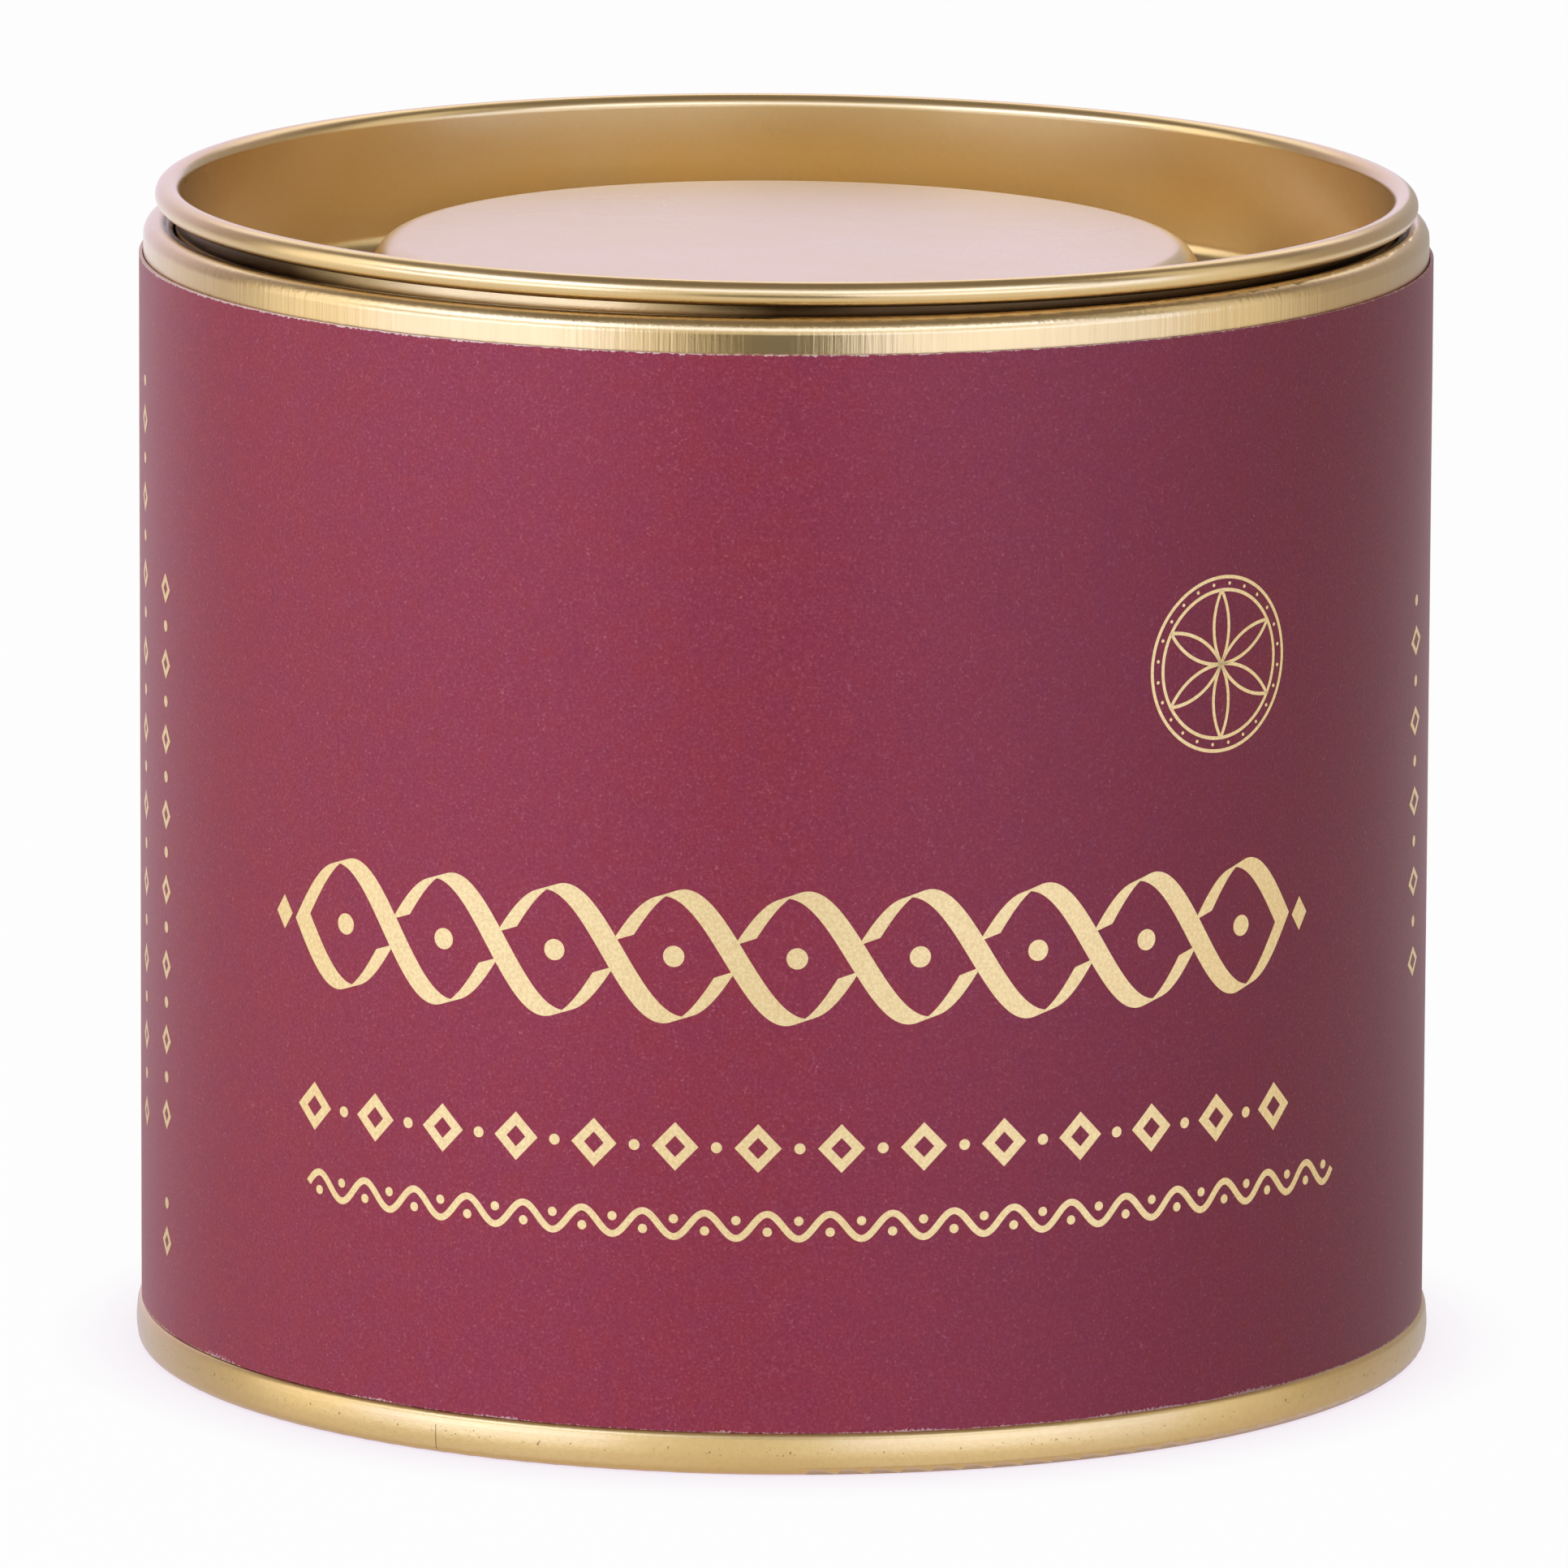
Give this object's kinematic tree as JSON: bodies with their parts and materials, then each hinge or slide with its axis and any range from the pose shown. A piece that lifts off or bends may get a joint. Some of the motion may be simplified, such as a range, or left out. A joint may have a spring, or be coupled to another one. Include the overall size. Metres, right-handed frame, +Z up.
{
  "type": "candle tin",
  "caption": "Round gold tinplate candle tin with a wrapped paper label, a press-in lid with a finger groove, and a wax candle with its wick inside.",
  "frame": {"origin": "centre of the tin's foot, on the surface that it stands on", "axes": "+Z up along the tin's axis, -Y to the front of the label, +Y to the label's lap at the back"},
  "size_m": [0.0766, 0.0766, 0.0692],
  "materials": {
    "tin_body": "satin gold lacquer over tinplate, fine upright rolling grain",
    "tin_base": "satin gold lacquer over tinplate",
    "tin_lid": "satin gold lacquer over tinplate, pressed",
    "seam_rubber": "cured sealing compound",
    "label_paper": "uncoated burgundy paper with a fine fibre grain",
    "foil_print": "warm gold foil print",
    "wax": "cream vegetable wax, soft sheen",
    "wick_cotton": "braided cotton primed with wax",
    "tab_steel": "bright tinned steel",
    "sticker_foam": "white closed-cell foam"
  },
  "bodies": {
    "tin": {"body_shell": "tin_body", "base_end": "tin_base", "seam_compound": "seam_rubber", "paper_label": "label_paper", "wax_fill": "wax", "wick": "wick_cotton", "wick_sustainer": "tab_steel", "wick_sticker": "sticker_foam"},
    "lid": {"lid": "tin_lid"}
  },
  "joints": [
    {"name": "lid_lift", "type": "slide", "parent": "tin", "child": "lid", "axis": [0, 0, 1], "range_m": [0, 0.028]}
  ]
}
